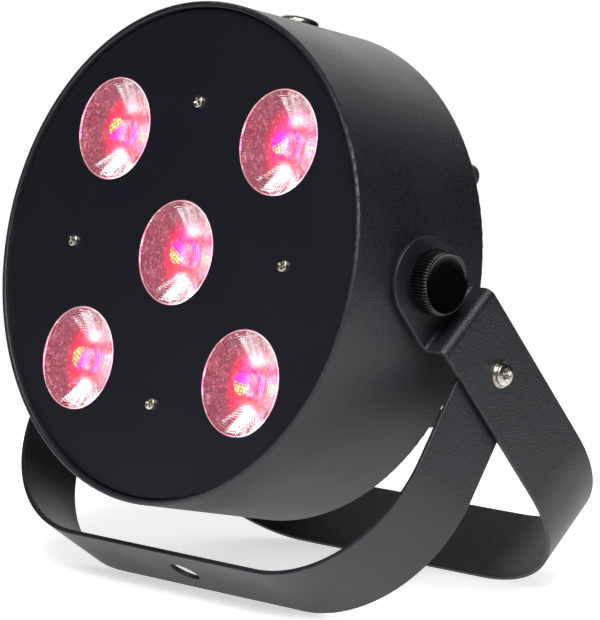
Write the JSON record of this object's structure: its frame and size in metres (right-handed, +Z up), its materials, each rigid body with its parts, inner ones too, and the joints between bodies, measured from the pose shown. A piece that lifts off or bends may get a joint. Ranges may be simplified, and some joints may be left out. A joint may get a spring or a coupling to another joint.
{
  "type": "par can light",
  "caption": "Compact LED par light: a flat round drum with collimator lenses on a folding double yoke with tilt knobs.",
  "frame": {"origin": "on the floor, at the bottom centre of the whole light at rest", "axes": "+Z up, the lenses face -Y and are tipped up, +X is to the right of a person who looks at the lenses"},
  "size_m": [0.234, 0.1754, 0.2365],
  "materials": {
    "housing_paint": "fine textured black powder coat, satin",
    "yoke_paint": "fine textured black powder coat, satin",
    "panel_paint": "smooth satin black lacquer",
    "nickel_screw": "bright nickel plate",
    "black_screw": "black zinc",
    "zinc_steel": "zinc plate",
    "sink_aluminium": "plain aluminium",
    "knob_plastic": "glossy black moulded plastic",
    "black_rubber": "moulded rubber",
    "socket_plastic": "moulded black nylon",
    "latch_plastic": "grey moulded plastic",
    "button_plastic": "moulded plastic",
    "window_plastic": "dark smoked acrylic",
    "circuit_board": "solder mask",
    "component_black": "moulded component",
    "ferrite": "ferrite and tape",
    "capacitor_sleeve": "shrunk sleeve",
    "holder_plastic": "moulded black plastic",
    "lens_clear": "clear moulded optical plastic",
    "led_board_mask": "white solder mask on aluminium",
    "led_package": "silicone dome on a ceramic package"
  },
  "bodies": {
    "main_yoke": {"main_yoke": "yoke_paint", "stand_screws": "nickel_screw", "stand_spacers": "zinc_steel", "stand_nuts": "zinc_steel"},
    "head": {"board_pillars": "sink_aluminium", "control_board": "circuit_board", "cover_screws": "black_screw", "data_input": "socket_plastic", "data_output": "socket_plastic", "display_module": "component_black", "display_window": "window_plastic", "friction_washers": "black_rubber", "front_panel": "panel_paint", "heat_sink": "sink_aluminium", "housing_shell": "housing_paint", "key_switches": "component_black", "led_board": "led_board_mask", "led_bottom_left": "led_package", "led_bottom_right": "led_package", "led_centre": "led_package", "led_top_left": "led_package", "led_top_right": "led_package", "lens_bottom_left": "lens_clear", "lens_bottom_right": "lens_clear", "lens_centre": "lens_clear", "lens_holder_bottom_left": "holder_plastic", "lens_holder_bottom_right": "holder_plastic", "lens_holder_centre": "holder_plastic", "lens_holder_top_left": "holder_plastic", "lens_holder_top_right": "holder_plastic", "lens_top_left": "lens_clear", "lens_top_right": "lens_clear", "panel_pillars": "sink_aluminium", "panel_screws": "nickel_screw", "pivot_inserts": "zinc_steel", "power_inlet": "socket_plastic", "power_outlet": "socket_plastic", "rear_cover": "housing_paint", "rear_feet": "black_rubber", "safety_bolt": "nickel_screw", "safety_nut": "zinc_steel", "sink_screws": "zinc_steel", "socket_screws": "black_screw", "supply_board": "circuit_board", "supply_capacitors": "capacitor_sleeve", "supply_pillars": "sink_aluminium", "supply_transformer": "ferrite"},
    "stand_yoke": {"stand_yoke": "yoke_paint"},
    "knob_right_stud": {"knob_stud_right": "zinc_steel"},
    "knob_right_grip": {"knob_grip_right": "knob_plastic"},
    "knob_left_stud": {"knob_stud_left": "zinc_steel"},
    "knob_left_grip": {"knob_grip_left": "knob_plastic"},
    "button_1": {"button_1": "button_plastic"},
    "button_2": {"button_2": "button_plastic"},
    "button_3": {"button_3": "button_plastic"},
    "button_4": {"button_4": "button_plastic"},
    "data_latch": {"data_latch": "latch_plastic"},
    "fuse_drawer": {"fuse_drawer": "socket_plastic"}
  },
  "joints": [
    {"name": "head_tilt", "type": "hinge", "parent": "main_yoke", "child": "head", "pos_m": [0, -0.03265, 0.13397], "axis": [-1, 0, 0], "range_deg": [-50, 125]},
    {"name": "stand_swing", "type": "hinge", "parent": "main_yoke", "child": "stand_yoke", "pos_m": [0, -0.00017, 0.09688], "axis": [1, 0, 0], "range_deg": [-10, 74.5]},
    {"name": "knob_right_travel", "type": "slide", "parent": "head", "child": "knob_right_stud", "axis": [1, 0, 0], "range_m": [0, 0.0025]},
    {"name": "knob_right_turn", "type": "hinge", "parent": "knob_right_stud", "child": "knob_right_grip", "pos_m": [0, -0.03265, 0.13397], "axis": [1, 0, 0], "range_deg": [0, 724]},
    {"name": "knob_left_travel", "type": "slide", "parent": "head", "child": "knob_left_stud", "axis": [-1, 0, 0], "range_m": [0, 0.0025]},
    {"name": "knob_left_turn", "type": "hinge", "parent": "knob_left_stud", "child": "knob_left_grip", "pos_m": [0, -0.03265, 0.13397], "axis": [-1, 0, 0], "range_deg": [0, 724]},
    {"name": "button_1_press", "type": "slide", "parent": "head", "child": "button_1", "axis": [0, -0.981, 0.1942], "range_m": [0, 0.0008], "stiffness_N_per_m": 500, "springref_m": -0.001},
    {"name": "button_2_press", "type": "slide", "parent": "head", "child": "button_2", "axis": [0, -0.981, 0.1942], "range_m": [0, 0.0008], "stiffness_N_per_m": 500, "springref_m": -0.001},
    {"name": "button_3_press", "type": "slide", "parent": "head", "child": "button_3", "axis": [0, -0.981, 0.1942], "range_m": [0, 0.0008], "stiffness_N_per_m": 500, "springref_m": -0.001},
    {"name": "button_4_press", "type": "slide", "parent": "head", "child": "button_4", "axis": [0, -0.981, 0.1942], "range_m": [0, 0.0008], "stiffness_N_per_m": 500, "springref_m": -0.001},
    {"name": "data_latch_press", "type": "slide", "parent": "head", "child": "data_latch", "axis": [0, -0.981, 0.1942], "range_m": [0, 0.0015], "stiffness_N_per_m": 500, "springref_m": -0.001},
    {"name": "fuse_drawer_pull", "type": "slide", "parent": "head", "child": "fuse_drawer", "axis": [0, 0.981, -0.1942], "range_m": [0, 0.016]}
  ],
  "couplings": [
    {"joint": "knob_right_turn", "follows": "knob_right_travel", "rad_per_m": 5026.5},
    {"joint": "knob_left_turn", "follows": "knob_left_travel", "rad_per_m": 5026.5}
  ]
}
